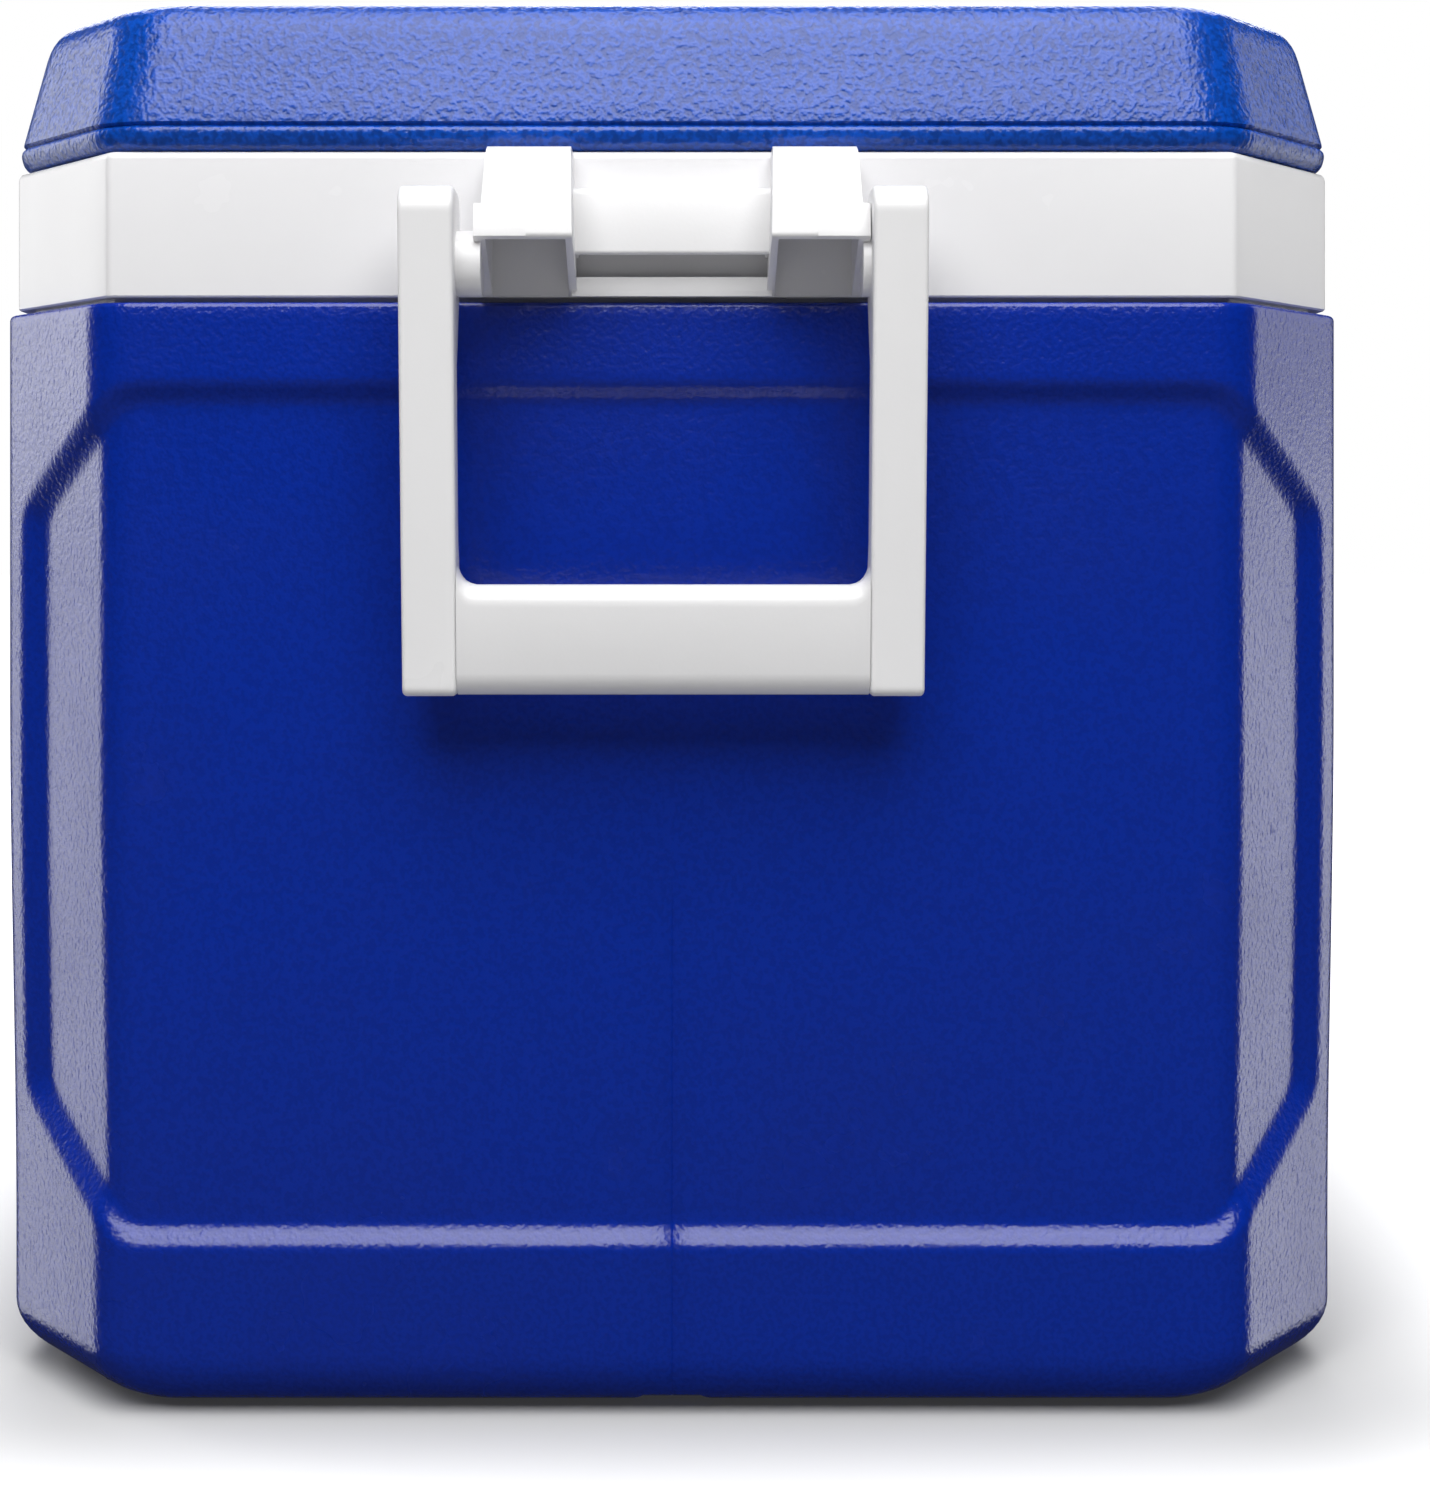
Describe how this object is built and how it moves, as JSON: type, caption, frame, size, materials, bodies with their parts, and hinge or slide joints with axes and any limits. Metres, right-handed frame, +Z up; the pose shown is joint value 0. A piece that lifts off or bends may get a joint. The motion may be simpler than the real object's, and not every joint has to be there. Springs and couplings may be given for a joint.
{
  "type": "cooler chest",
  "caption": "Hard-sided insulated cooler chest with a hinged lid, a white rim collar, a swing-up bail handle on each end and a push-pull drain.",
  "frame": {"origin": "on the floor under the centre of the chest's bounding box", "axes": "+Z up; X along the chest's length, with the drain on the -X end; -Y is the front with the lid's finger lip and +Y the rear with the hinges"},
  "size_m": [0.6764, 0.4064, 0.3925],
  "materials": {
    "blue_shell": "satin",
    "blue_lid": "satin",
    "white_collar": "gloss",
    "white_handle": "satin",
    "white_hinge": "satin",
    "white_liner": "satin",
    "foam": "matte",
    "screw_steel": "satin",
    "rubber_black": "matte"
  },
  "bodies": {
    "chest": {"outer_shell": "blue_shell", "body_insulation": "foam", "inner_liner": "white_liner", "rim_collar": "white_collar", "handle_mount_right": "white_handle", "handle_mount_left": "white_handle", "handle_screws_right": "screw_steel", "handle_screws_left": "screw_steel", "hinge_base_right": "white_hinge", "hinge_base_left": "white_hinge", "hinge_pin_right": "screw_steel", "hinge_pin_left": "screw_steel", "hinge_screws_base": "screw_steel", "drain_spout": "white_hinge", "drain_washer": "rubber_black", "drain_nut": "white_hinge"},
    "lid": {"lid_shell": "blue_lid", "lid_insulation": "foam", "lid_liner": "white_liner", "hinge_leaf_right": "white_hinge", "hinge_leaf_left": "white_hinge", "hinge_screws_lid": "screw_steel"},
    "bail_right": {"bail_right": "white_handle", "grip_right": "white_handle"},
    "bail_left": {"bail_left": "white_handle", "grip_left": "white_handle"},
    "plug": {"drain_plug": "white_hinge", "plug_seal": "rubber_black"}
  },
  "joints": [
    {"name": "lid_hinge", "type": "hinge", "parent": "chest", "child": "lid", "pos_m": [0, 0.1986, 0.35], "axis": [-1, 0, 0], "range_deg": [0, 105]},
    {"name": "bail_right_swing", "type": "hinge", "parent": "chest", "child": "bail_right", "pos_m": [0.322, 0, 0.3155], "axis": [0, -1, 0], "range_deg": [-4, 95]},
    {"name": "bail_left_swing", "type": "hinge", "parent": "chest", "child": "bail_left", "pos_m": [-0.322, 0, 0.3155], "axis": [0, 1, 0], "range_deg": [-4, 95]},
    {"name": "drain_pull", "type": "slide", "parent": "chest", "child": "plug", "axis": [-1, 0, 0], "range_m": [0, 0.014]}
  ]
}
